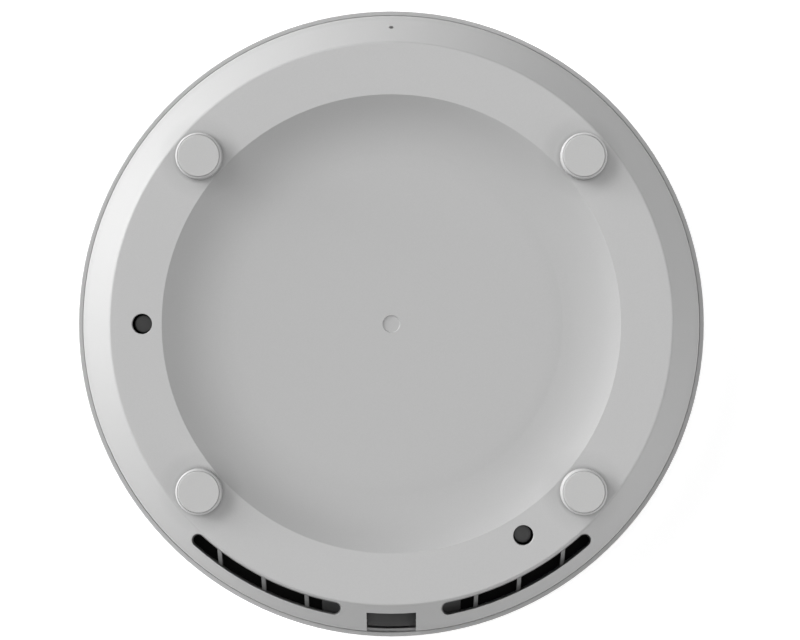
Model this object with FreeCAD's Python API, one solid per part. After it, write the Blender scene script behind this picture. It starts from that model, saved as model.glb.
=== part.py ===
import FreeCAD, Part
import os
import math

os.makedirs("parts", exist_ok=True)
V = FreeCAD.Vector

# ---------------------------------------------------------------------------
# Ceiling access point.  Millimetres.  +Z points out of the back, towards the
# ceiling; z = 0 is the flat middle of the front cover, which faces the room.
# +Y points to the reset pinhole, -Y to the Ethernet port.
# ---------------------------------------------------------------------------

# overall
R_RIM = 102.38           # outer radius of the front cover
Z_RING = 33.6            # flat ring of the back
Z_PAD = 37.2             # top of the foot pads
WALL = 2.0               # shell wall

# rear shell
R_RING_OUT = 90.32       # outer edge of the flat ring
R_DISH = 73.62           # sharp rim of the dish
R_DISH_FLAT = 55.3       # the dish is flat inside this radius
DISH_SLOPE = 26.0        # degrees, at the rim of the dish
BEVEL = 48.0             # degrees, slope of the conical bevel
R_SKIRT = 100.55         # outer radius of the skirt
EDGE_R = 2.5             # rounding between bevel and skirt
Z_SKIRT = 17.8           # lower edge of the skirt
MARK_R, MARK_D = 2.84, 0.42  # round centring recess in the dish
MARK_DRAFT = 0.17        # how far its wall leans in

# feet
FOOT_X, FOOT_Y = 61.5, 53.62
FOOT_R = 7.42            # ring boss
POCKET_R = 6.77
PAD_R = 6.65
Z_POCKET = 35.5

# round holes and the towers below them
HOLE_R = 3.27
HOLE_PCD_R = 79.9
HOLE_ANGLES = (180.0, -58.0)
Z_PLUG = 28.8
PLUG_R = 2.85

# vents
VENT_ZL, VENT_ZH = 23.0, 36.0    # the tapered slot is cut between these heights
VENT_RL, VENT_RH = 94.38, 93.38  # its centre line radius at those heights
VENT_HL, VENT_HH = 1.22, 3.24    # its half width at those heights
VENT_A0, VENT_A1 = 11.3, 41.7    # centres of the rounded ends, from -Y
RIB_X = (27.35, 41.25, 55.4)
RIB_W = 1.3
RIB_SINK = 1.5
RIB_DEEP = 3.6           # underside of the ribs, below the surface

# port notch
NOTCH_HALF = 8.0
Z_NOTCH = 30.25

# pinhole, square to the bevel
PIN_R = 0.8
PIN_RADIUS_POS = 96.0

# front cover
R_FLAT = 60.0            # flat middle of the front
Z_DOME = 13.0            # where the dome meets the rim
Z_LEDGE = 19.6           # top of the rim ledge
R_LEDGE_IN = 100.94
Z_STEP = 17.6            # step that carries the skirt
R_IN = 100.05

# board stack
Z_B0, Z_B1 = 15.3, 16.9  # board faces
R_BOARD = 94.0
Z_FRAME = 18.1           # top of the inner frame's ring
Z_SP0, Z_SP1 = 10.2, 11.7    # heat spreader plate
R_SP = 58.0

# Ethernet jack
JACK_Y0, JACK_Y1 = -89.0, -73.5
JACK_HALF = 7.9
JACK_TOP = 29.9


# ---------------------------------------------------------------------------
def out(name, shape):
    if isinstance(shape, (list, tuple)):
        shape = Part.makeCompound(list(shape))
    bad = [s for s in shape.Solids if not s.isValid()]
    print("%-24s solids %2d  vol %10.2f  %s" % (name, len(shape.Solids), shape.Volume,
                                             "BAD" if bad or not shape.Solids else ""))
    shape.exportStep("parts/%s.step" % name)
    return shape


def cyl(x, y, z0, z1, r):
    return Part.makeCylinder(r, z1 - z0, V(x, y, z0), V(0, 0, 1))


def box(x0, x1, y0, y1, z0, z1):
    return Part.makeBox(x1 - x0, y1 - y0, z1 - z0, V(x0, y0, z0))


def tube(x, y, z0, z1, ro, ri):
    return cyl(x, y, z0, z1, ro).cut(cyl(x, y, z0 - 1, z1 + 1, ri))


def polar(r, a):
    return r * math.cos(math.radians(a)), r * math.sin(math.radians(a))


def P(r, z):
    return V(r, 0, z)


def revolve(items):
    """Closed profile in the XZ plane: points, and ("arc", mid) between two points."""
    edges = []
    pts = items
    n = len(pts)
    i = 0
    prev = None
    mid = None
    first = None
    for it in pts + [pts[0]]:
        if isinstance(it, tuple):
            mid = it[1]
            continue
        if prev is not None:
            if mid is not None:
                edges.append(Part.Arc(prev, mid, it).toShape())
                mid = None
            elif prev.distanceToPoint(it) > 1e-6:
                edges.append(Part.makeLine(prev, it))
        prev = it
    face = Part.Face(Part.Wire(edges))
    return face.revolve(V(0, 0, 0), V(0, 0, 1), 360)


def rbox(cx, cy, lx, ly, z0, z1, rot=0.0, r=0.0):
    b = box(-lx / 2, lx / 2, -ly / 2, ly / 2, z0, z1)
    if r > 0:
        es = [e for e in b.Edges if abs(e.Vertexes[0].Z - e.Vertexes[1].Z) > 1e-6]
        b = b.makeFillet(r, es)
    b.rotate(V(0, 0, 0), V(0, 0, 1), rot)
    b.translate(V(cx, cy, 0))
    return b


def union(parts):
    s = parts[0]
    if len(parts) > 1:
        s = s.fuse(list(parts[1:]))
    return s.removeSplitter()


# ---------------------------------------------------------------------------
# geometry shared by several parts
b = math.radians(BEVEL)
tb = math.tan(b)
th = math.radians(DISH_SLOPE)
DISH_R = (R_DISH - R_DISH_FLAT) / math.sin(th)
Z_DISH = Z_RING - DISH_R * (1 - math.cos(th))
ZC = Z_DISH + DISH_R                              # centre of the dish arc
print("dish floor z %.3f, depth %.3f" % (Z_DISH, Z_RING - Z_DISH))

R_EDGE0 = R_SKIRT - EDGE_R * (1 - math.sin(b))    # bevel ends, rounding starts
Z_EDGE0 = Z_RING - (R_EDGE0 - R_RING_OUT) * tb
Z_EDGE1 = Z_EDGE0 - EDGE_R * math.cos(b)
SHIFT = WALL / math.sin(b)                        # bevel wall measured along r


def bevel_z(r, inset=0.0):
    """z of the bevel surface, or of a cone parallel to it and inset mm below."""
    return Z_RING - (r + inset / math.sin(b) - R_RING_OUT) * tb


# inner dish arc meets the inside of the flat ring at this angle
zi = Z_RING - WALL
phi = math.acos((ZC - zi) / (DISH_R + WALL))


def dish_pt(rad, ang):
    return P(R_DISH_FLAT + rad * math.sin(ang), ZC - rad * math.cos(ang))


r_in_top = R_RING_OUT - SHIFT + WALL / tb         # inner bevel meets inner ring
RI = EDGE_R - WALL
CX, CZ = R_SKIRT - EDGE_R, Z_EDGE1                # centre of the edge rounding


def edge_pt(rad, ang):
    return P(CX + rad * math.sin(ang), CZ + rad * math.cos(ang))


# ---------------------------------------------------------------------------
# rear shell
RING_T = 0.4                                      # tangent length of the ring's edge rounding
ring_rad = RING_T / math.tan(b / 2)
ring_mid = P(R_RING_OUT - RING_T + ring_rad * math.sin(b / 2), Z_RING - ring_rad * (1 - math.cos(b / 2)))
prof = [
    P(0, Z_DISH), P(R_DISH_FLAT, Z_DISH),
    ("arc", dish_pt(DISH_R, th / 2)), dish_pt(DISH_R, th),
    P(R_RING_OUT - RING_T, Z_RING),
    ("arc", ring_mid), P(R_RING_OUT + RING_T * math.cos(b), Z_RING - RING_T * math.sin(b)),
    edge_pt(EDGE_R, b), ("arc", edge_pt(EDGE_R, (b + math.pi / 2) / 2)), edge_pt(EDGE_R, math.pi / 2),
    P(R_SKIRT, Z_SKIRT),
    P(R_SKIRT - WALL, Z_SKIRT),
    edge_pt(RI, math.pi / 2), ("arc", edge_pt(RI, (b + math.pi / 2) / 2)), edge_pt(RI, b),
    P(r_in_top, zi),
    dish_pt(DISH_R + WALL, phi),
    ("arc", dish_pt(DISH_R + WALL, phi / 2)), P(R_DISH_FLAT, Z_DISH - WALL),
    P(0, Z_DISH - WALL),
]
shell = revolve(prof)

# ring bosses of the feet, with a rounded outer edge
FEET = [(-FOOT_X, FOOT_Y), (FOOT_X, FOOT_Y), (-FOOT_X, -FOOT_Y), (FOOT_X, -FOOT_Y)]
boss_prof = [P(0, Z_RING - 0.6), P(FOOT_R, Z_RING - 0.6), P(FOOT_R, Z_PAD - 0.9),
             ("arc", P(FOOT_R - 0.22, Z_PAD - 0.37)), P(FOOT_R - 0.75, Z_PAD - 0.15), P(0, Z_PAD - 0.15)]
boss1 = revolve(boss_prof)
bosses = []
for fx, fy in FEET:
    s = boss1.copy()
    s.translate(V(fx, fy, 0))
    bosses.append(s)
shell = shell.fuse(bosses)
cuts = []
for fx, fy in FEET:
    cuts.append(cyl(fx, fy, Z_POCKET, Z_PAD + 1, POCKET_R))
    cuts.append(cyl(fx, fy, zi - 0.5, Z_POCKET + 0.1, 1.6))
    cuts.append(Part.makeCone(1.6, 3.0, 1.4, V(fx, fy, Z_POCKET - 1.4), V(0, 0, 1)))
# round holes
for a in HOLE_ANGLES:
    hx, hy = polar(HOLE_PCD_R, a)
    cuts.append(cyl(hx, hy, zi - 1, Z_RING + 1, HOLE_R))
# port notch
cuts.append(box(-NOTCH_HALF, NOTCH_HALF, -R_RIM - 5, -R_DISH - 8.0, Z_SKIRT - 3, Z_NOTCH))
# pinhole
pin_z = bevel_z(PIN_RADIUS_POS)
AX = V(0, -math.sin(b), -math.cos(b))             # into the shell
PIN_P = V(0, PIN_RADIUS_POS, pin_z)
cuts.append(Part.makeCylinder(PIN_R, 6, PIN_P - AX * 2, AX))


# vents: two arc slots cut along Z, with drafted walls
def slot_wire(rc, half, z, sign):
    lo, hi = (270 + VENT_A0, 270 + VENT_A1) if sign > 0 else (270 - VENT_A1, 270 - VENT_A0)

    def q(r, a):
        x, y = polar(r, a)
        return V(x, y, z)

    ro, ri, m = rc + half, rc - half, (lo + hi) / 2
    k = math.degrees(half / rc)
    return Part.Wire([
        Part.Arc(q(ro, lo), q(ro, m), q(ro, hi)).toShape(),
        Part.Arc(q(ro, hi), q(rc, hi + k), q(ri, hi)).toShape(),
        Part.Arc(q(ri, hi), q(ri, m), q(ri, lo)).toShape(),
        Part.Arc(q(ri, lo), q(rc, lo - k), q(ro, lo)).toShape()])


def vent_tool(sign, grow=0.0):
    return Part.makeLoft([slot_wire(VENT_RL, VENT_HL + grow, VENT_ZL, sign),
                          slot_wire(VENT_RH, VENT_HH + grow, VENT_ZH, sign)], True, True)


vents = [vent_tool(1), vent_tool(-1)]
print("vent tools", [(v.isValid(), round(v.Volume, 1)) for v in vents])
shell = shell.cut(cuts + vents)
hole_e = []
for e in shell.Edges:
    if e.BoundBox.ZLength < 1e-3 and abs(e.BoundBox.ZMin - Z_RING) < 1e-3 and abs(e.Length - 2 * math.pi * HOLE_R) < 0.01:
        hole_e.append(e)
print("hole edges", len(hole_e))
shell = shell.makeChamfer(0.1, hole_e)

# ribs across the vents, a little below the surface
rib_prof = [P(90.0, bevel_z(90.0, RIB_SINK)), P(96.8, bevel_z(96.8, RIB_SINK)),
            P(96.2, bevel_z(96.2, RIB_DEEP)), P(90.0, bevel_z(90.0, RIB_DEEP))]
rib_band = revolve(rib_prof)
rib_list = []
for sgn in (1, -1):
    zone = vent_tool(sgn, grow=0.5)
    for x in RIB_X:
        slab = box(sgn * x - RIB_W / 2, sgn * x + RIB_W / 2, -R_RIM, -60, 18, 36)
        rib_list.append(rib_band.common(slab).common(zone))
shell = shell.fuse(rib_list)

# pockets for the cover's snap hooks, inside the skirt
HOOKS = (0.0, 60.0, 120.0, 180.0, 222.0, 318.0)
hook_cuts = []
for a in HOOKS:
    c = box(R_SKIRT - WALL - 1.0, R_SKIRT - 1.0, -4.4, 4.4, 18.7, 20.8)
    c.rotate(V(0, 0, 0), V(0, 0, 1), a)
    hook_cuts.append(c)
shell = shell.cut(hook_cuts).removeSplitter()

# centring recess with a drafted wall, cut sector by sector
sectors = []
for i in range(24):
    w = Part.makeCone(MARK_R - MARK_DRAFT, MARK_R + MARK_DRAFT, 2 * MARK_D, V(0, 0, Z_DISH - MARK_D), V(0, 0, 1), 15)
    w.rotate(V(0, 0, 0), V(0, 0, 1), 15 * i)
    sectors.append(w)
shell = shell.cut(sectors)
out("rear_shell", shell)

# ---------------------------------------------------------------------------
# front cover
def ellipse_edge(cz, a, bb):
    """Quarter of an ellipse, from (R_FLAT + a, cz) down to (R_FLAT, cz - bb)."""
    e = Part.Ellipse(V(0, 0, 0), a, bb)
    sh = e.toShape(1.5 * math.pi, 2 * math.pi)      # in XY: right-lower quarter
    sh.rotate(V(0, 0, 0), V(1, 0, 0), 90)           # XY -> XZ
    sh.translate(V(R_FLAT, 0, cz))
    return sh


lines = []


def ln(p, q):
    lines.append(Part.makeLine(p, q))


ln(P(0, 0), P(R_FLAT, 0))
lines.append(ellipse_edge(Z_DOME, R_RIM - R_FLAT, Z_DOME))
ln(P(R_RIM, Z_DOME), P(R_RIM, Z_LEDGE - 0.35))
lines.append(Part.Arc(P(R_RIM, Z_LEDGE - 0.35), P(R_RIM - 0.1025, Z_LEDGE - 0.1025),
                      P(R_RIM - 0.35, Z_LEDGE)).toShape())
ln(P(R_RIM - 0.35, Z_LEDGE), P(R_LEDGE_IN + 0.15, Z_LEDGE))
ln(P(R_LEDGE_IN + 0.15, Z_LEDGE), P(R_LEDGE_IN, Z_LEDGE - 0.15))
ln(P(R_LEDGE_IN, Z_LEDGE - 0.15), P(R_LEDGE_IN, Z_STEP))
ln(P(R_LEDGE_IN, Z_STEP), P(R_IN, Z_STEP))
ln(P(R_IN, Z_STEP), P(R_IN, Z_DOME))
lines.append(ellipse_edge(Z_DOME, R_IN - R_FLAT, Z_DOME - WALL))
ln(P(R_FLAT, WALL), P(0, WALL))
ln(P(0, WALL), P(0, 0))
cover = Part.Face(Part.Wire(Part.__sortEdges__(lines))).revolve(V(0, 0, 0), V(0, 0, 1), 360)

adds = []
# pillars up to the rear shell, one under each foot
for fx, fy in FEET:
    adds.append(cyl(fx, fy, 1.0, zi - 0.05, 3.6))
# standoffs under the board
BOARD_SCREWS = [polar(86.0, 0.0), polar(86.0, 104.0), polar(86.0, 241.0)]
TOWERS = [polar(HOLE_PCD_R, a) for a in HOLE_ANGLES]
for x, y in BOARD_SCREWS + TOWERS:
    adds.append(cyl(x, y, 1.0, Z_B0, 3.2))
# snap hooks
for a in HOOKS:
    t = box(96.7, 98.25, -3.5, 3.5, 10.0, 21.1)
    t = t.fuse(box(96.7, 100.5, -3.5, 3.5, 10.0, 17.1))
    bump = Part.Face(Part.makePolygon([V(98.15, -3.5, 18.95), V(99.2, -3.5, 19.1), V(98.15, -3.5, 20.6), V(98.15, -3.5, 18.95)]))
    t = t.fuse(bump.extrude(V(0, 7.0, 0)))
    t.rotate(V(0, 0, 0), V(0, 0, 1), a)
    adds.append(t)
# stiffening ring and radial ribs inside the dome
adds.append(tube(0, 0, 1.5, 4.2, 71.0, 69.6))
MID_A = 41.2
mid = [Part.makeLine(P(0, 1.0), P(R_FLAT, 1.0)), ellipse_edge(Z_DOME, MID_A, Z_DOME - 1.0),
       Part.makeLine(P(R_FLAT + MID_A, Z_DOME), P(R_FLAT + MID_A, 45)), Part.makeLine(P(R_FLAT + MID_A, 45), P(0, 45)),
       Part.makeLine(P(0, 45), P(0, 1.0))]
mid = Part.Face(Part.Wire(Part.__sortEdges__(mid))).revolve(V(0, 0, 0), V(0, 0, 1), 360)
adds = [a_.common(mid) for a_ in adds]
cover = cover.fuse(adds)
# light pipe hole and screw bores
LP_X, LP_Y = 0.0, -40.0
ccuts = [cyl(LP_X, LP_Y, -1, 4, 1.6)]
for fx, fy in FEET:
    ccuts.append(cyl(fx, fy, 18.0, 33, 1.3))
for x, y in BOARD_SCREWS:
    ccuts.append(cyl(x, y, 8.0, 17, 1.05))
for x, y in TOWERS:
    ccuts.append(cyl(x, y, 6.0, 17, 1.05))
cover = cover.cut(ccuts).removeSplitter()
out("front_cover", cover)

# ---------------------------------------------------------------------------
# foot pads: flat discs with a fine chamfer
pad_prof = [P(0, Z_POCKET + 0.0), P(PAD_R, Z_POCKET + 0.0), P(PAD_R, Z_PAD - 0.18), P(PAD_R - 0.18, Z_PAD), P(0, Z_PAD)]
pad1 = revolve(pad_prof)
for i, (fx, fy) in enumerate(FEET):
    s = pad1.copy()
    s.translate(V(fx, fy, 0))
    out("foot_pad_%d" % (i + 1), s)

# case screws under the pads: countersunk head, shank into the pillar
def csk(x, y, ztop, rh, hh, rs, z0):
    s = Part.makeCone(rs, rh, hh, V(x, y, ztop - hh), V(0, 0, 1)).fuse(cyl(x, y, z0, ztop - hh + 0.01, rs))
    rec = rbox(x, y, 3.0, 0.6, ztop - 0.8, ztop + 1).fuse(rbox(x, y, 0.6, 3.0, ztop - 0.8, ztop + 1))
    return s.cut(rec).removeSplitter()


out("case_screws", [csk(fx, fy, Z_POCKET - 0.05, 2.75, 1.25, 1.25, 20.0) for fx, fy in FEET])


def pan(x, y, z, rh, hh, rs, z0, down=True):
    """Pan head screw: head sits on z, shank goes down to z0 (or up when down is False)."""
    if down:
        head = cyl(x, y, z, z + hh, rh)
        top = [e for e in head.Edges if abs(e.BoundBox.ZMin - (z + hh)) < 1e-6 and e.BoundBox.ZLength < 1e-6]
        head = head.makeFillet(hh * 0.45, top)
        s = head.fuse(cyl(x, y, z0, z + 0.01, rs))
        zt = z + hh
        rec = rbox(x, y, rh * 1.15, 0.5, zt - hh * 0.6, zt + 1).fuse(rbox(x, y, 0.5, rh * 1.15, zt - hh * 0.6, zt + 1))
    else:
        head = cyl(x, y, z - hh, z, rh)
        top = [e for e in head.Edges if abs(e.BoundBox.ZMin - (z - hh)) < 1e-6 and e.BoundBox.ZLength < 1e-6]
        head = head.makeFillet(hh * 0.45, top)
        s = head.fuse(cyl(x, y, z - 0.01, z0, rs))
        zt = z - hh
        rec = rbox(x, y, rh * 1.15, 0.5, zt - 1, zt + hh * 0.6).fuse(rbox(x, y, 0.5, rh * 1.15, zt - 1, zt + hh * 0.6))
    return s.cut(rec).removeSplitter()


# ---------------------------------------------------------------------------
# inner frame: plastic ring on the board with two towers below the round holes
fr = tube(0, 0, Z_B1, Z_FRAME, 96.4, 77.0)
fr = fr.cut([box(-22.7, 22.7, -100, -60, Z_B1 - 1, Z_FRAME + 1)])
for fx, fy in FEET:
    fr = fr.cut(cyl(fx, fy, Z_B1 - 1, Z_FRAME + 1, 4.6))
fadd = []
for x, y in TOWERS:
    fadd.append(cyl(x, y, Z_B1, 21.4, 4.2))
    fadd.append(cyl(x, y, Z_B1, Z_PLUG - 1.0, PLUG_R))
    # gussets
    g = rbox(x, y, 12.6, 1.2, Z_B1, 20.4, math.degrees(math.atan2(y, x)) + 90)
    fadd.append(g)
# low stiffening wall round the inner edge
wall_in = tube(0, 0, Z_B1, 20.6, 78.2, 77.0).cut(box(-24.5, 24.5, -100, -60, Z_B1 - 1, 24))
wall_in = wall_in.cut(box(-6.0, 6.0, 60, 100, Z_FRAME, 24))
fadd.append(wall_in)
fr = fr.fuse(fadd)
fcuts = [cyl(fx, fy, Z_B1 - 1, 24, 4.2) for fx, fy in FEET]
for x, y in TOWERS:
    fcuts.append(cyl(x, y, 22.6, Z_PLUG + 1, 2.1))
    fcuts.append(cyl(x, y, Z_B1 - 1, 23, 1.15))
for x, y in BOARD_SCREWS:
    fcuts.append(cyl(x, y, Z_B1 - 1, Z_FRAME + 1, 1.15))
fr = fr.cut(fcuts).removeSplitter()
out("inner_frame", fr)

out("frame_screws", [pan(x, y, 22.6, 1.95, 1.7, 1.0, 8.0) for x, y in TOWERS])
out("board_screws", [pan(x, y, Z_FRAME, 2.0, 1.6, 1.0, 9.0) for x, y in BOARD_SCREWS])

# plugs: cap on the tower with a stem in its counterbore
for i, (x, y) in enumerate(TOWERS):
    cap_p = [P(0, Z_PLUG - 1.0), P(PLUG_R, Z_PLUG - 1.0), P(PLUG_R, Z_PLUG - 0.25), P(PLUG_R - 0.25, Z_PLUG), P(0, Z_PLUG)]
    cap = revolve(cap_p)
    stem = cyl(0, 0, 25.0, Z_PLUG - 0.9, 1.95)
    s = cap.fuse(stem).removeSplitter()
    s.translate(V(x, y, 0))
    out("screw_plug_%d" % (i + 1), s)

# ---------------------------------------------------------------------------
# main board
board = cyl(0, 0, Z_B0, Z_B1, R_BOARD)
bc = []
for fx, fy in FEET:
    bc.append(cyl(fx, fy, Z_B0 - 1, Z_B1 + 1, 4.6))
for x, y in BOARD_SCREWS + TOWERS:
    bc.append(cyl(x, y, Z_B0 - 1, Z_B1 + 1, 1.15))
# holes of the spreader screws
SP_SCREWS = [polar(52.0, a) for a in (45, 135, 225, 315)]
for x, y in SP_SCREWS:
    bc.append(cyl(x, y, Z_B0 - 1, Z_B1 + 1, 1.25))
# flat edge towards the port
bc.append(box(-20, 20, -100, -92.2, Z_B0 - 1, Z_B1 + 1))
board = board.cut(bc)
out("main_board", board)

# ---------------------------------------------------------------------------
# Ethernet jack: plastic housing, sheet shield, eight contacts
JH = JACK_HALF - 0.3
house = box(-JH, JH, JACK_Y0 + 0.3, JACK_Y1 - 0.3, Z_B1, JACK_TOP - 0.3)
cav = box(-5.9, 5.9, JACK_Y0 - 1, JACK_Y0 + 12.5, 19.3, 26.1)
latch = box(-3.1, 3.1, JACK_Y0 - 1, JACK_Y0 + 12.5, 26.0, 28.2)
latch2 = box(-1.7, 1.7, JACK_Y0 - 1, JACK_Y0 + 10.0, 28.1, 28.9)
house = house.cut([cav, latch, latch2])
# grooves for the contacts in the floor of the cavity and the back wall
CONT_X = [-3.57 + 1.02 * i for i in range(8)]
groove = [box(x - 0.3, x + 0.3, JACK_Y0 + 2.5, JACK_Y0 + 12.6, 18.5, 19.8) for x in CONT_X]
house = house.cut(groove).removeSplitter()
out("ethernet_jack_housing", house)

shield_o = box(-JACK_HALF, JACK_HALF, JACK_Y0, JACK_Y1, Z_B1, JACK_TOP)
shield_i = box(-JH, JH, JACK_Y0 + 0.3, JACK_Y1 - 0.3, Z_B1 - 1, JACK_TOP - 0.3)
sh = shield_o.cut(shield_i)
front_open = box(-6.1, 6.1, JACK_Y0 - 1, JACK_Y0 + 1, 19.1, 26.3).fuse(box(-3.3, 3.3, JACK_Y0 - 1, JACK_Y0 + 1, 26.2, 29.1))
sh = sh.cut(front_open)
# spring tongues cut into the sides and the roof
for sx in (-1, 1):
    sh = sh.cut(box(min(sx * 7.0, sx * 8.5), max(sx * 7.0, sx * 8.5), -84.5, -78.5, 22.0, 22.5))
    sh = sh.cut(box(min(sx * 7.0, sx * 8.5), max(sx * 7.0, sx * 8.5), -84.5, -78.5, 25.0, 25.5))
sh = sh.removeSplitter()
out("ethernet_jack_shield", sh)

contacts = []
for x in CONT_X:
    # springs rise from the back of the floor towards the mouth
    p = [V(x - 0.2, JACK_Y0 + 12.4, 18.75), V(x - 0.2, JACK_Y0 + 12.4, 19.05), V(x - 0.2, JACK_Y0 + 4.2, 21.0),
         V(x - 0.2, JACK_Y0 + 3.9, 20.75), V(x - 0.2, JACK_Y0 + 12.4, 18.75)]
    f = Part.Face(Part.makePolygon(p))
    contacts.append(f.extrude(V(0.4, 0, 0)))
out("ethernet_contacts", contacts)

# ---------------------------------------------------------------------------
# port bay: dark moulding round the jack, its outer face follows the shell
BAY_X = 22.4
BAY_GAP = 0.4
g = (WALL + BAY_GAP)
bp = [P(84.0, Z_B1), P(97.9, Z_B1), P(97.9, bevel_z(97.9, g)), P(90.0, bevel_z(90.0, g)), P(84.0, bevel_z(90.0, g))]
bay = revolve(bp)
bay = bay.common(box(-BAY_X, BAY_X, -100, -60, 10, 40))
bay = bay.cut(box(-8.15, 8.15, -100, -60, 10, 40))
# relieved towards the board: hollow blocks
for sx in (-1, 1):
    x0, x1 = sorted((sx * 10.0, sx * 21.3))
    bay = bay.cut(box(x0, x1, -91.0, -70, Z_B1 - 1, 26.2))
floor = cyl(0, 0, Z_B1, 17.9, 99.2).common(box(-8.15, 8.15, -100, JACK_Y0 - 0.15, 10, 40))
floor = floor.common(box(-7.85, 7.85, -100, -80, 10, 40).fuse(box(-8.15, 8.15, -97.0, -80, 10, 40)))
bay = bay.fuse(floor).removeSplitter()
out("port_bay", bay)

# ---------------------------------------------------------------------------
# power and network parts on the ceiling side of the board
out("lan_transformer", rbox(0, -63.0, 17.0, 11.5, Z_B1, 23.4, 0, 0.6))

core = union([rbox(-27, -58.0, 15.0, 3.2, Z_B1 + 0.6, 25.6), rbox(-27, -46.0, 15.0, 3.2, Z_B1 + 0.6, 25.6),
              rbox(-33.3, -52.0, 2.4, 12.0, Z_B1 + 0.6, 25.6), rbox(-20.7, -52.0, 2.4, 12.0, Z_B1 + 0.6, 25.6)])
out("poe_transformer_core", core)
coil = Part.makeCylinder(4.0, 8.6, V(-27, -56.3, 21.6), V(0, 1, 0))
fl1 = rbox(-27, -55.9, 9.6, 0.8, Z_B1, 25.8)
fl2 = rbox(-27, -48.1, 9.6, 0.8, Z_B1, 25.8)
out("poe_transformer_coil", union([coil, fl1, fl2]))

CAPS = [(26.0, -60.0, 4.0, 9.0), (36.5, -57.0, 4.0, 9.0), (31.0, -47.5, 4.0, 9.0)]
caps = []
for x, y, r, h in CAPS:
    base = rbox(x, y, 2 * r + 0.4, 2 * r + 0.4, Z_B1, Z_B1 + 0.8, 0, 1.2)
    can = [P(0, Z_B1 + 0.8), P(r - 0.1, Z_B1 + 0.8), P(r - 0.1, Z_B1 + 1.5), P(r - 0.45, Z_B1 + 1.9), P(r - 0.1, Z_B1 + 2.3),
           P(r - 0.1, Z_B1 + h - 0.5), P(r - 0.6, Z_B1 + h), P(0, Z_B1 + h)]
    c = revolve(can)
    c.translate(V(x, y, 0))
    caps.append(base.fuse(c).removeSplitter())
out("capacitors", caps)

IND = [(-8.0, -44.0), (4.0, -44.0), (16.0, -44.0)]
inds = []
for x, y in IND:
    s = rbox(x, y, 7.0, 7.0, Z_B1, Z_B1 + 3.4, 0, 1.0)
    inds.append(s)
out("power_inductors", inds)

out("power_chips", [rbox(-8, -54.0, 5, 5, Z_B1, Z_B1 + 0.9), rbox(4, -53.5, 4, 4, Z_B1, Z_B1 + 0.9),
                   rbox(16.5, -54.0, 5, 4, Z_B1, Z_B1 + 1.1), rbox(-44, -40, 6, 5, Z_B1, Z_B1 + 1.4)])

# ---------------------------------------------------------------------------
# processor, memory and radios on the room side of the board
out("processor_chip", rbox(0, 6, 19, 19, Z_B0 - 1.3, Z_B0, 0, 0.3))
out("memory_chips", [rbox(-17, 12, 9, 13, Z_B0 - 1.1, Z_B0), rbox(17, 0, 8, 6, Z_B0 - 1.0, Z_B0)])
out("radio_chips", [rbox(-33, -12, 10, 10, Z_B0 - 0.9, Z_B0), rbox(33, 16, 10, 10, Z_B0 - 0.9, Z_B0)])

# keep the cans apart: the middle one is narrower than the gap between the others
SHIELDS = [(0.0, 7.0, 46.0, 28.0), (-36.0, -16.0, 22.0, 26.0), (37.0, 18.0, 22.0, 26.0)]
frames, lids = [], []
Z_CAN = 12.9
for cx, cy, lx, ly in SHIELDS:
    o = rbox(cx, cy, lx, ly, Z_CAN + 0.2, Z_B0)
    i = rbox(cx, cy, lx - 0.8, ly - 0.8, Z_CAN - 1, Z_B0 + 1)
    frames.append(o.cut(i))
    lid = rbox(cx, cy, lx + 0.5, ly + 0.5, Z_CAN, Z_CAN + 0.2)
    skirt = rbox(cx, cy, lx + 0.5, ly + 0.5, Z_CAN, Z_CAN + 1.4).cut(rbox(cx, cy, lx + 0.1, ly + 0.1, Z_CAN - 1, Z_CAN + 3))
    # rows of small vent holes
    holes = []
    nx, ny = int(lx // 5) - 1, int(ly // 5) - 1
    for ix in range(nx):
        for iy in range(ny):
            if (ix + iy) % 2 == 0:
                holes.append(cyl(cx + (ix - (nx - 1) / 2) * 5.0, cy + (iy - (ny - 1) / 2) * 5.0, Z_CAN - 1, Z_CAN + 1, 0.7))
    lids.append(lid.fuse(skirt).cut(holes).removeSplitter())
out("shield_frames", frames)
out("shield_lids", lids)
out("thermal_pads", [rbox(0, 7, 24, 18, Z_SP1, Z_CAN), rbox(-36, -16, 14, 14, Z_SP1, Z_CAN), rbox(37, 18, 14, 14, Z_SP1, Z_CAN)])

# heat spreader: aluminium plate with a turned-up rim towards the room and ribs
sp = cyl(0, 0, Z_SP0, Z_SP1, R_SP)
rim = tube(0, 0, Z_SP0 - 2.0, Z_SP0 + 0.5, R_SP, R_SP - 1.4)
fins = [rbox(0, y, 60, 1.4, Z_SP0 - 2.2, Z_SP0 + 0.2) for y in (-18, -10, -2, 6, 14, 22, 30)]
posts = [cyl(x, y, Z_SP1 - 0.2, Z_B0, 2.8) for x, y in SP_SCREWS]
sp = union([sp, rim] + fins + posts)
sp = sp.cut([cyl(x, y, Z_SP0 - 4, Z_B0 + 1, 1.0) for x, y in SP_SCREWS] + [cyl(LP_X, LP_Y, Z_SP0 - 4, Z_B0 + 1, 2.2)])
out("heat_spreader", sp)
out("spreader_screws", [pan(x, y, Z_B1, 2.1, 1.5, 0.95, Z_SP0 + 0.3) for x, y in SP_SCREWS])

# status light: chip on the board, clear pipe to a small lens in the cover
led = rbox(LP_X, LP_Y, 3.0, 1.6, Z_B0 - 0.9, Z_B0)
out("status_led", led)
lp = union([cyl(LP_X, LP_Y, 0.0, 13.9, 1.45), cyl(LP_X, LP_Y, 2.0, 3.0, 2.6), cyl(LP_X, LP_Y, 12.6, 13.9, 2.0)])
out("light_pipe", lp)

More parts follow.
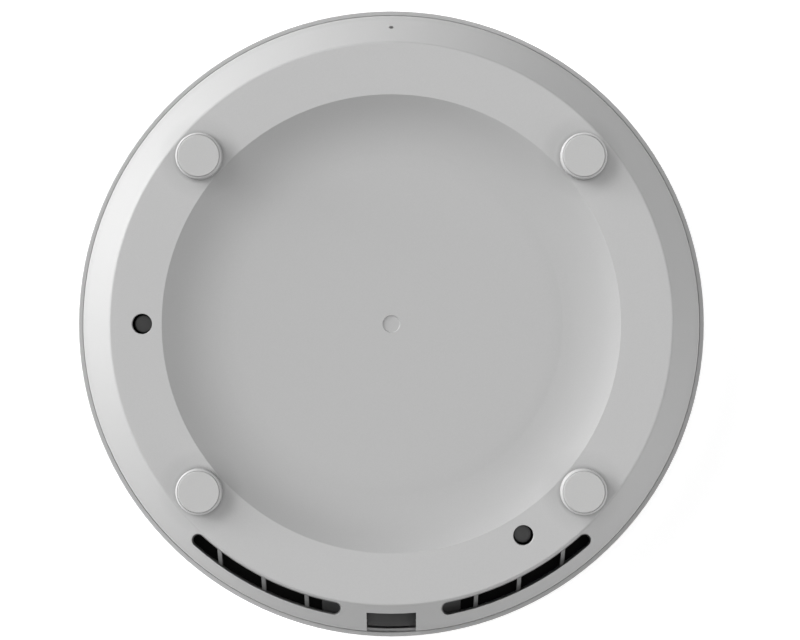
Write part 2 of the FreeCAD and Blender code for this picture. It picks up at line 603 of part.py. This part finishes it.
# ---------------------------------------------------------------------------
# antennas round the spreader: folded sheet radiators on plastic holders
ANT = [(20.0, 0), (160.0, 1), (205.0, 2), (335.0, 3)]
R_ANT = 73.0
holders = []
cable_routes = []
for k, (a, idx) in enumerate(ANT):
    # local frame: x radial, y tangential, placed at radius R_ANT
    hold = union([box(-6, 6, -13, 13, 4.4, 5.6),
                  box(-5, -3.8, -12, -10.8, 5.5, 9.0), box(3.8, 5, -12, -10.8, 5.5, 9.0),
                  box(-5, -3.8, 10.8, 12, 5.5, 9.0), box(3.8, 5, 10.8, 12, 5.5, 9.0)])
    rad = union([box(-5.4, 5.4, -12.4, 12.4, 9.0, 9.4), box(-5.4, -5.0, -4, 4, 5.6, 9.2)])
    slot = box(-3.0, 6.0, -1.0, 1.0, 8.5, 10.0)
    slot2 = box(-3.0, -1.4, -8.5, 8.5, 8.5, 10.0)
    rad = rad.cut([slot, slot2]).removeSplitter()
    for s in (hold, rad):
        s.translate(V(R_ANT, 0, 0))
        s.rotate(V(0, 0, 0), V(0, 0, 1), a)
    holders.append(hold)
    out("antenna_%d" % (idx + 1), rad)
    cable_routes.append((a, idx))
out("antenna_holders", holders)

# board sockets of the antenna leads, on the room side near the board's edge
SOCK_R, SOCK_DA = 64.0, 15.0
socks = []
for a, idx in cable_routes:
    sgn = 1 if idx in (0, 2) else -1
    sx, sy = polar(SOCK_R, a + sgn * SOCK_DA)
    socks.append(union([rbox(sx, sy, 3.0, 3.0, Z_B0 - 0.5, Z_B0, a), cyl(sx, sy, Z_B0 - 1.6, Z_B0, 1.0)]))
out("antenna_sockets", socks)


def lead(points, radii, d):
    """Round lead: straight runs joined by tangent arcs."""
    pts = [V(*p) for p in points]
    edges = []
    length = 0.0
    start = pts[0]
    for i in range(1, len(pts) - 1):
        u = (pts[i - 1] - pts[i]).normalize()
        w = (pts[i + 1] - pts[i]).normalize()
        turn = math.pi - u.getAngle(w)
        r = radii[i - 1]
        t = r * math.tan(turn / 2)
        p1 = pts[i] + u * t
        p2 = pts[i] + w * t
        bis = (u + w).normalize()
        c = pts[i] + bis * (r / math.cos(turn / 2))
        m = c - bis * r
        edges.append(Part.makeLine(start, p1))
        edges.append(Part.Arc(p1, m, p2).toShape())
        length += start.distanceToPoint(p1) + r * turn
        start = p2
    edges.append(Part.makeLine(start, pts[-1]))
    length += start.distanceToPoint(pts[-1])
    wire = Part.Wire(edges)
    tan = (pts[1] - pts[0]).normalize()
    prof = Part.Wire(Part.makeCircle(d / 2, pts[0], tan))
    s = wire.makePipeShell([prof], True, False)
    print("   lead length %.1f  volume %.3f  section x length %.3f" % (length, s.Volume, math.pi * d * d / 4 * length))
    return s


LEAD_D = 1.13
for a, idx in cable_routes:
    sgn = 1 if idx in (0, 2) else -1
    s_ang = a + sgn * SOCK_DA
    # in the frame turned by a: x radial, y tangential
    sx, sy = polar(SOCK_R, sgn * SOCK_DA)
    # crimp head snapped on the socket, lead leaves along the board, then drops to the radiator
    head = cyl(sx, sy, Z_B0 - 2.6, Z_B0 - 1.65, 1.4)
    y1 = sgn * 3.4
    zr = Z_B0 - 2.1
    path = [(sx + 1.2, sy, zr), (sx + 6.6, sy, zr), (sx + 8.9, sy - sgn * 7.4, zr - 1.2), (R_ANT - 1.0, sgn * 3.2, 9.4 + LEAD_D / 2 + 0.02)]
    ld = lead(path, (2.6, 4.0), LEAD_D)
    s = union([head, ld])
    s.rotate(V(0, 0, 0), V(0, 0, 1), a)
    out("antenna_cable_%d" % (idx + 1), s)

# ---------------------------------------------------------------------------
# reset: plunger behind the pinhole, switch on an angled holder
TRAVEL = 0.3


def along(p, s):
    return p + AX * s


def acyl(s0, s1, r):
    return Part.makeCylinder(r, s1 - s0, along(PIN_P, s0), AX)


# the plunger's tip lies just inside the wall; a flange keeps it in the switch
plunger = union([acyl(2.4, 6.8, 0.95), acyl(6.1, 6.8, 1.45)])
out("reset_button", plunger)

# oblique frame: s along AX, x along X, t square to both
T = V(0, math.cos(b), -math.sin(b))


def obox(s0, s1, hx, t0, t1):
    bb = Part.makeBox(2 * hx, t1 - t0, s1 - s0, V(-hx, t0, s0))
    m = FreeCAD.Matrix(1, 0, 0, PIN_P.x,
                       0, T.y, AX.y, PIN_P.y,
                       0, T.z, AX.z, PIN_P.z,
                       0, 0, 0, 1)
    return bb.transformed(m)


sw = obox(5.3, 8.6, 3.0, -3.0, 3.0)
sw = sw.cut([acyl(5.2, 6.2, 1.1), acyl(5.95, 7.3, 1.65)]).removeSplitter()
out("reset_switch_body", sw)

hold = union([obox(8.6, 10.0, 3.6, -3.6, 3.0), box(-3.6, 3.6, 79.0, 90.4, Z_FRAME, Z_FRAME + 1.2)])
# cheeks join the tilted seat to the foot plate
ck = []
for sx in (-1, 1):
    x0, x1 = sorted((sx * 3.6, sx * 4.6))
    q1 = along(PIN_P, 6.6) + T * 3.0
    q2 = along(PIN_P, 6.6) - T * 3.6
    q3 = along(PIN_P, 10.0) - T * 3.6
    poly = [V(x0, 79.0, Z_FRAME), V(x0, 91.6, Z_FRAME), V(x0, q1.y, q1.z), V(x0, q2.y, q2.z), V(x0, q3.y, q3.z),
            V(x0, 79.0, Z_FRAME + 1.2), V(x0, 79.0, Z_FRAME)]
    ck.append(Part.Face(Part.makePolygon(poly)).extrude(V(x1 - x0, 0, 0)))
hold = union([hold] + ck)
out("reset_holder", hold)
print("axis", AX, "pin", PIN_P)
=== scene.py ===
import bpy
import math
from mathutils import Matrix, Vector

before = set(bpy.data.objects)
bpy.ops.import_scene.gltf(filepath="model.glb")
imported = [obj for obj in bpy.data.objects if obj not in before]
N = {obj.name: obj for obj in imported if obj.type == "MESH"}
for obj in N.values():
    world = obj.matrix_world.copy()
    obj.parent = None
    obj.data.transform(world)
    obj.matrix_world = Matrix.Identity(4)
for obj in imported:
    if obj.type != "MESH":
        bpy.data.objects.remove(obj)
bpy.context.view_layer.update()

# ---------------------------------------------------------------------------
# sizes, metres, in the frame of the CAD model
Z_RING = 0.0336          # flat ring of the back
CAM_D = 0.650            # lens above the ring
MM_PX = 0.32044e-3       # one picture element at the ring's plane


# ---------------------------------------------------------------------------
# camera first: straight down on the back
cam = bpy.data.cameras.new("camera")
cam_o = bpy.data.objects.new("camera", cam)
bpy.context.scene.collection.objects.link(cam_o)
cam_o.location = (0.0, 0.0, Z_RING + CAM_D)
cam_o.rotation_euler = (0.0, 0.0, 0.0)
cam.sensor_fit = "HORIZONTAL"
cam.sensor_width = 36.0
cam.lens = 36.0 * CAM_D / (800 * MM_PX)
cam.shift_x = (400 - 391.3) / 800
cam.shift_y = -(320 - 323.9) / 800
cam.clip_start = 0.01
cam.clip_end = 20.0
bpy.context.scene.camera = cam_o


# ---------------------------------------------------------------------------
# material helpers
class G:
    """A small builder for node trees."""

    def __init__(self, name):
        self.m = bpy.data.materials.new(name)
        self.m.use_nodes = True
        self.t = self.m.node_tree
        self.b = self.t.nodes["Principled BSDF"]
        self.co = None

    def n(self, kind, **kw):
        x = self.t.nodes.new(kind)
        for k, v in kw.items():
            setattr(x, k, v)
        return x

    def l(self, a, b):
        self.t.links.new(a, b)

    def coord(self):
        if self.co is None:
            self.co = self.n("ShaderNodeTexCoord").outputs["Object"]
        return self.co

    def mapped(self, scale=(1, 1, 1), rot=(0, 0, 0), loc=(0, 0, 0)):
        m = self.n("ShaderNodeMapping")
        m.inputs["Scale"].default_value = scale
        m.inputs["Rotation"].default_value = rot
        m.inputs["Location"].default_value = loc
        self.l(self.coord(), m.inputs["Vector"])
        return m.outputs["Vector"]

    def noise(self, scale, detail=2.0, rough=0.5, vec=None, out="Fac"):
        x = self.n("ShaderNodeTexNoise")
        x.inputs["Scale"].default_value = scale
        x.inputs["Detail"].default_value = detail
        x.inputs["Roughness"].default_value = rough
        self.l(vec or self.coord(), x.inputs["Vector"])
        return x.outputs[out]

    def voronoi(self, scale, feature="F1", vec=None, out="Distance", rand=1.0):
        x = self.n("ShaderNodeTexVoronoi")
        x.feature = feature
        x.inputs["Scale"].default_value = scale
        x.inputs["Randomness"].default_value = rand
        self.l(vec or self.coord(), x.inputs["Vector"])
        return x.outputs[out]

    def ramp(self, fac, stops):
        r = self.n("ShaderNodeValToRGB")
        e = r.color_ramp.elements
        while len(e) < len(stops):
            e.new(0.5)
        for el, (p, c) in zip(e, stops):
            el.position = p
            el.color = (c[0], c[1], c[2], 1) if hasattr(c, "__len__") else (c, c, c, 1)
        self.l(fac, r.inputs["Fac"])
        return r.outputs["Color"]

    def rng(self, fac, a, b, lo=0.0, hi=1.0):
        x = self.n("ShaderNodeMapRange")
        x.inputs["From Min"].default_value = lo
        x.inputs["From Max"].default_value = hi
        x.inputs["To Min"].default_value = a
        x.inputs["To Max"].default_value = b
        self.l(fac, x.inputs["Value"])
        return x.outputs["Result"]

    def math(self, op, a, b=None, clamp=False):
        x = self.n("ShaderNodeMath", operation=op, use_clamp=clamp)
        for i, v in enumerate((a, b)):
            if v is None:
                continue
            if isinstance(v, (int, float)):
                x.inputs[i].default_value = v
            else:
                self.l(v, x.inputs[i])
        return x.outputs[0]

    def mix(self, fac, a, b):
        x = self.n("ShaderNodeMix", data_type="RGBA")
        for s, v in ((x.inputs[0], fac), (x.inputs[6], a), (x.inputs[7], b)):
            if isinstance(v, (int, float)):
                s.default_value = v if s is x.inputs[0] else (v, v, v, 1)
            elif isinstance(v, (tuple, list)):
                s.default_value = (v[0], v[1], v[2], 1)
            else:
                self.l(v, s)
        return x.outputs[2]

    def bump(self, height, dist, strength=1.0, normal=None):
        x = self.n("ShaderNodeBump")
        x.inputs["Distance"].default_value = dist
        x.inputs["Strength"].default_value = strength
        self.l(height, x.inputs["Height"])
        if normal is not None:
            self.l(normal, x.inputs["Normal"])
        return x.outputs["Normal"]

    def set(self, **kw):
        for k, v in kw.items():
            s = self.b.inputs[k.replace("_", " ")]
            if isinstance(v, (int, float)):
                s.default_value = v
            elif isinstance(v, (tuple, list)):
                s.default_value = (v[0], v[1], v[2], 1) if len(v) == 3 and s.type == "RGBA" else v
            else:
                self.l(v, s)
        return self


def put(mat, *names):
    for nm in names:
        o = N[nm]
        o.data.materials.clear()
        o.data.materials.append(mat)


def spark_plastic(name, base, rough=0.5, grain=0.28e-3, depth=6e-6, spread=0.02, tint=(1, 1, 1), spec=0.5, painted_shade_zones=None,
                  painted_foot_shadow=None, painted_vent_shade=None):
    """Moulded plastic with a spark-eroded matt texture; its last three arguments paint light and shade into the
    colour: painted light and shade against the radius, metres, a painted contact shadow against the distance from the
    nearest foot, and painted shade below the bevel, in the vents."""
    g = G(name)
    s = 1.0 / grain
    cloud = g.noise(28.0, 3.0, 0.55)
    fine = g.noise(s * 0.8, 2.0, 0.6)
    lo = tuple(base * (1 - spread) * t for t in tint)
    hi = tuple(base * (1 + spread) * t for t in tint)
    col = g.mix(g.rng(cloud, 0, 1, 0.3, 0.7), lo, hi)
    pit = g.rng(fine, 0.975, 1.02, 0.3, 0.7)
    # painted light and shade: the colour is stepped lighter or darker against the radius
    if painted_shade_zones:
        sx = g.n("ShaderNodeSeparateXYZ")
        g.l(g.coord(), sx.inputs[0])
        rad = g.math("SQRT", g.math("ADD", g.math("MULTIPLY", sx.outputs["X"], sx.outputs["X"]),
                                    g.math("MULTIPLY", sx.outputs["Y"], sx.outputs["Y"])))
        tone = None
        for r0, r1, d in painted_shade_zones:
            step = g.rng(rad, 0.0, d, r0, r1)
            tone = g.math("ADD", tone if tone is not None else 1.0, step)
        pit = g.math("MULTIPLY", pit, tone)
    # painted contact shadow, darker the closer to each foot
    if painted_foot_shadow:
        cx, cy, steps = painted_foot_shadow
        dx = g.math("SUBTRACT", g.math("ABSOLUTE", sx.outputs["X"]), cx)
        dy = g.math("SUBTRACT", g.math("ABSOLUTE", sx.outputs["Y"]), cy)
        q = g.math("SQRT", g.math("ADD", g.math("MULTIPLY", dx, dx), g.math("MULTIPLY", dy, dy)))
        foot_shadow_tone = 1.0
        for r0, r1, d in steps:
            foot_shadow_tone = g.math("ADD", foot_shadow_tone, g.rng(q, d, 0.0, r0, r1))
        # only outside the boss itself
        foot_shadow_tone = g.mix(g.rng(q, 0.0, 1.0, 0.00739, 0.00749), 1.0, foot_shadow_tone)
        pit = g.math("MULTIPLY", pit, foot_shadow_tone)
    # painted shade in the vents: darker the deeper the surface lies below the bevel
    if painted_vent_shade:
        r_lo, r_hi, z0, r0, slope, stops = painted_vent_shade
        below = g.math("SUBTRACT", g.math("SUBTRACT", z0, g.math("MULTIPLY", g.math("SUBTRACT", rad, r0), slope)), sx.outputs["Z"])
        vent_shade_tone = g.rng(below, 1.0, stops[2], stops[0], stops[1])
        inside = g.math("MULTIPLY", g.rng(rad, 0.0, 1.0, r_lo, r_lo + 1e-4), g.rng(rad, 1.0, 0.0, r_hi, r_hi + 1e-4))
        pit = g.math("MULTIPLY", pit, g.mix(inside, 1.0, vent_shade_tone))
    vm = g.n("ShaderNodeVectorMath", operation="SCALE")
    g.l(col, vm.inputs[0])
    g.l(pit, vm.inputs["Scale"])
    rr = g.math("ADD", g.rng(cloud, rough - 0.03, rough + 0.03, 0.3, 0.7), g.rng(fine, -0.03, 0.03, 0.3, 0.7))
    cells = g.voronoi(s, "SMOOTH_F1")
    h = g.math("ADD", g.math("MULTIPLY", cells, 0.6), g.math("MULTIPLY", fine, 0.7))
    g.set(Base_Color=vm.outputs["Vector"], Roughness=rr, Normal=g.bump(h, depth))
    g.b.inputs["Specular IOR Level"].default_value = spec
    return g.m


# ---------------------------------------------------------------------------
# shells, pads, plugs
SHELL = 0.40
# painted light and shade against the radius, metres: dish floor as it is, dish wall painted darker, flat ring painted
# lighter, bevel painted darker, and the bevel's outer edge darker still
PAINTED_SHADE_ZONES = [(0.050, 0.068, -0.103), (0.0734, 0.0737, 0.165), (0.0901, 0.0905, -0.177), (0.0983, 0.1004, -0.06)]
# painted contact shadow: the shell is painted darker close round each foot
PAINTED_FOOT_SHADOW = (0.0615, 0.05362, [(0.0075, 0.0088, -0.16), (0.0076, 0.0140, -0.13)])
# the shell's vent walls carry painted shade, darker below the bevel
m_shell = spark_plastic("shell_grey", SHELL * 1.088, 0.52, 0.26e-3, 5e-6, 0.006, painted_shade_zones=PAINTED_SHADE_ZONES, painted_foot_shadow=PAINTED_FOOT_SHADOW,
                        painted_vent_shade=(0.0907, 0.0985, Z_RING, 0.09032, math.tan(math.radians(48)), (0.15e-3, 1.6e-3, 0.40)))
m_cover = spark_plastic("cover_grey", SHELL * 0.96, 0.48, 0.22e-3, 4e-6, 0.008)
m_pad = spark_plastic("pad_grey", SHELL * 1.19, 0.62, 0.35e-3, 5e-6, 0.01, (1.0, 1.0, 0.995), 0.4)
m_plug = spark_plastic("plug_dark", 0.063, 0.55, 0.3e-3, 6e-6, 0.04)
m_dark = spark_plastic("dark_plastic", 0.040, 0.55, 0.32e-3, 7e-6, 0.04)
m_inner = spark_plastic("inner_black", 0.004, 0.7, 0.32e-3, 7e-6, 0.05, spec=0.08)
put(m_shell, "rear_shell")
put(m_cover, "front_cover")
put(m_pad, "foot_pad_1", "foot_pad_2", "foot_pad_3", "foot_pad_4")
put(m_plug, "screw_plug_1", "screw_plug_2")
put(m_dark, "port_bay")
put(m_inner, "inner_frame", "reset_holder")


# ---------------------------------------------------------------------------
# board: solder mask with tracks, vias and a copper pour showing through
def board_material():
    g = G("solder_mask")
    vec = g.mapped((1, 1, 0.001))
    pour = g.voronoi(160.0, "F1", vec, "Color")
    sep = g.n("ShaderNodeSeparateColor")
    g.l(pour, sep.inputs[0])
    area = g.rng(sep.outputs[0], 0, 1, 0.35, 0.37)
    br = g.n("ShaderNodeTexBrick")
    br.offset = 0.5
    br.inputs["Scale"].default_value = 260.0
    br.inputs["Mortar Size"].default_value = 0.09
    br.inputs["Mortar Smooth"].default_value = 0.1
    br.inputs["Brick Width"].default_value = 3.0
    br.inputs["Row Height"].default_value = 0.28
    g.l(g.mapped((1, 1, 0), (0, 0, 0.7854)), br.inputs["Vector"])
    track = g.math("MULTIPLY", br.outputs["Fac"], area)
    via = g.rng(g.voronoi(420.0, "F1", vec), 1, 0, 0.10, 0.14)
    col = g.mix(area, (0.010, 0.060, 0.032), (0.016, 0.090, 0.048))
    col = g.mix(track, col, (0.006, 0.040, 0.022))
    col = g.mix(via, col, (0.42, 0.40, 0.30))
    rough = g.math("ADD", g.rng(g.noise(900.0), 0.28, 0.40), g.math("MULTIPLY", via, 0.1))
    h = g.math("SUBTRACT", area, track)
    g.set(Base_Color=col, Roughness=rough, Metallic=via, Normal=g.bump(h, 2.5e-5))
    g.b.inputs["Coat Weight"].default_value = 0.25
    g.b.inputs["Coat Roughness"].default_value = 0.2
    return g.m


put(board_material(), "main_board")


def metal(name, color, rough=0.3, brush=(3000, 60, 3000), depth=2e-6, spread=0.06):
    g = G(name)
    v = g.mapped(brush)
    streak = g.noise(1.0, 3.0, 0.6, v)
    blot = g.noise(120.0, 2.0, 0.5)
    lo = tuple(c * (1 - spread) for c in color)
    hi = tuple(min(1.0, c * (1 + spread)) for c in color)
    col = g.mix(g.rng(blot, 0, 1, 0.3, 0.7), lo, hi)
    rr = g.math("ADD", g.rng(streak, rough - 0.08, rough + 0.08, 0.25, 0.75), g.rng(blot, -0.03, 0.03, 0.3, 0.7))
    g.set(Base_Color=col, Roughness=rr, Normal=g.bump(streak, depth))
    g.b.inputs["Metallic"].default_value = 1.0
    return g.m


m_tin = metal("tin_steel", (0.62, 0.62, 0.60), 0.34, (200, 4200, 200))
put(m_tin, "ethernet_jack_shield", "shield_frames", "shield_lids")
put(metal("contact_gold", (0.90, 0.66, 0.27), 0.24, (5000, 300, 5000)), "ethernet_contacts", "antenna_sockets")
put(metal("spreader_aluminium", (0.72, 0.73, 0.74), 0.42, (900, 900, 900), 8e-6), "heat_spreader")
put(metal("screw_steel", (0.56, 0.56, 0.57), 0.30, (2500, 2500, 200)), "case_screws", "frame_screws", "board_screws", "spreader_screws")
put(metal("antenna_brass", (0.80, 0.64, 0.36), 0.30, (300, 5200, 300)), "antenna_1", "antenna_2", "antenna_3", "antenna_4")
put(spark_plastic("jack_plastic", 0.022, 0.42, 0.2e-3, 3e-6, 0.05), "ethernet_jack_housing")
put(spark_plastic("switch_black", 0.02, 0.45, 0.2e-3, 3e-6, 0.05), "reset_switch_body")
put(spark_plastic("button_grey", 0.10, 0.45, 0.2e-3, 3e-6, 0.03), "reset_button")
put(spark_plastic("holder_white", 0.72, 0.50, 0.3e-3, 5e-6, 0.02, (1, 1, 0.97)), "antenna_holders")
put(spark_plastic("lead_grey", 0.22, 0.38, 0.15e-3, 2e-6, 0.05), "antenna_cable_1", "antenna_cable_2", "antenna_cable_3", "antenna_cable_4")
put(spark_plastic("thermal_pad", 0.40, 0.75, 0.5e-3, 2e-5, 0.08, (0.85, 0.98, 1.15)), "thermal_pads")
put(spark_plastic("ferrite", 0.045, 0.50, 0.35e-3, 8e-6, 0.12), "poe_transformer_core")
put(spark_plastic("coil_tape", 0.55, 0.30, 1.2e-3, 2e-5, 0.05, (1.15, 0.75, 0.12)), "poe_transformer_coil")
put(spark_plastic("led_white", 0.80, 0.35, 0.2e-3, 2e-6, 0.02, (1, 0.97, 0.80)), "status_led")


def chip_material():
    """Moulding compound: fine grain and faint blotches of tone, no lettering."""
    g = G("chip_black")
    grain = g.noise(5200.0, 2.0, 0.6)
    blot = g.noise(180.0, 2.0)
    col = g.mix(g.rng(blot, 0, 1, 0.3, 0.7), (0.018, 0.018, 0.020), (0.028, 0.028, 0.030))
    g.set(Base_Color=col, Roughness=g.rng(grain, 0.42, 0.62, 0.3, 0.7), Normal=g.bump(grain, 6e-6))
    return g.m


put(chip_material(), "lan_transformer", "power_chips", "processor_chip", "memory_chips", "radio_chips", "power_inductors")


def can_material():
    """Electrolytic can: dark base band, bright drawn side."""
    g = G("can_aluminium")
    sx = g.n("ShaderNodeSeparateXYZ")
    g.l(g.coord(), sx.inputs[0])
    z = sx.outputs["Z"]
    base = g.rng(z, 1, 0, 0.0176, 0.0178)
    streak = g.noise(1.0, 2.0, 0.5, g.mapped((2600, 2600, 80)))
    col = g.mix(base, (0.74, 0.75, 0.76), (0.02, 0.02, 0.02))
    g.set(Base_Color=col, Metallic=g.math("SUBTRACT", 1.0, base), Roughness=g.rng(streak, 0.22, 0.42, 0.3, 0.7),
          Normal=g.bump(streak, 3e-6))
    return g.m


put(can_material(), "capacitors")


def pipe_material():
    g = G("clear_pipe")
    fine = g.noise(700.0, 2.0, 0.5)
    g.set(Base_Color=g.mix(fine, (0.93, 0.94, 0.95), (0.97, 0.98, 0.98)), Roughness=g.rng(fine, 0.05, 0.16, 0.3, 0.7),
          Normal=g.bump(fine, 4e-6))
    g.b.inputs["Transmission Weight"].default_value = 1.0
    g.b.inputs["IOR"].default_value = 1.49
    return g.m


put(pipe_material(), "light_pipe")

for nm, o in N.items():
    if o.type == "MESH" and not o.data.materials:
        raise RuntimeError("no material on " + nm)


# ---------------------------------------------------------------------------
# floor: one plain pale sheet, flat
def make_floor():
    g = G("floor_pale")
    c = g.noise(6.0, 3.0, 0.5)
    fine = g.noise(900.0, 2.0, 0.5)
    g.set(Base_Color=g.mix(c, (0.885, 0.885, 0.885), (0.90, 0.90, 0.90)), Roughness=g.rng(fine, 0.85, 0.95), Normal=g.bump(fine, 1e-5))
    g.b.inputs["Specular IOR Level"].default_value = 0.2
    g.b.inputs["Emission Color"].default_value = (1, 1, 1, 1)
    g.b.inputs["Emission Strength"].default_value = 0.44
    import bmesh
    bm = bmesh.new()
    bmesh.ops.create_grid(bm, x_segments=8, y_segments=8, size=4.0)
    me = bpy.data.meshes.new("floor")
    bm.to_mesh(me)
    bm.free()
    o = bpy.data.objects.new("floor", me)
    bpy.context.scene.collection.objects.link(o)
    me.materials.append(g.m)
    return o


make_floor()

# ---------------------------------------------------------------------------
# light: soft key from the upper left, low fills, one broad lamp overhead
world = bpy.data.worlds.new("studio")
bpy.context.scene.world = world
world.use_nodes = True
bg = world.node_tree.nodes["Background"]
bg.inputs["Color"].default_value = (1, 1, 1, 1)
lp = world.node_tree.nodes.new("ShaderNodeLightPath")
sky = world.node_tree.nodes.new("ShaderNodeMapRange")
sky.inputs["To Min"].default_value = 0.02      # next to no light of its own
sky.inputs["To Max"].default_value = 1.0      # and a pale backdrop
world.node_tree.links.new(lp.outputs["Is Camera Ray"], sky.inputs["Value"])
world.node_tree.links.new(sky.outputs["Result"], bg.inputs["Strength"])


def sun(name, az, el, w, angle=45.0):
    """A soft distant lamp: az turns from +X to +Y, el is above the floor, w its share of a white card's light."""
    L = bpy.data.lights.new(name, "SUN")
    L.angle = math.radians(angle)
    L.energy = math.pi * w
    o = bpy.data.objects.new(name, L)
    bpy.context.scene.collection.objects.link(o)
    a, e = math.radians(az), math.radians(el)
    d = Vector((math.cos(a) * math.cos(e), math.sin(a) * math.cos(e), math.sin(e)))
    o.rotation_euler = d.to_track_quat("Z", "Y").to_euler()
    return o


LAMPS = [("key_low", 150, 4, 0.247, 45), ("key_strip", 160, 7, 0.287, 12), ("key_strip_b", 180, 7, 0.04, 12),
         ("key_edge", 150, 2, 0.042, 9), ("key_edge_b", 180, 2, 0.083, 9), ("fill_edge", 330, 2, 0.033, 9),
         ("key_mid", 150, 18, 0.608, 45), ("side_mid", 180, 18, 0.127, 45),
         ("key_high", 150, 30, 0.26, 45), ("key_high_c", 180, 30, 0.082, 45),
         ("fill_low", 330, 4, 0.1225, 45), ("fill_mid", 330, 18, 0.264, 45), ("fill_high", 0, 40, 0.093, 45),
         ("back_high", 120, 40, 0.047, 45), ("top", 0, 88, 0.356, 45)]
for nm, az, el, w, an in LAMPS:
    sun(nm, az, el, w, an)

bpy.context.scene.view_settings.view_transform = "Standard"
bpy.context.scene.view_settings.look = "None"
bpy.context.scene.view_settings.exposure = 0.0
bpy.context.scene.view_settings.gamma = 1.0
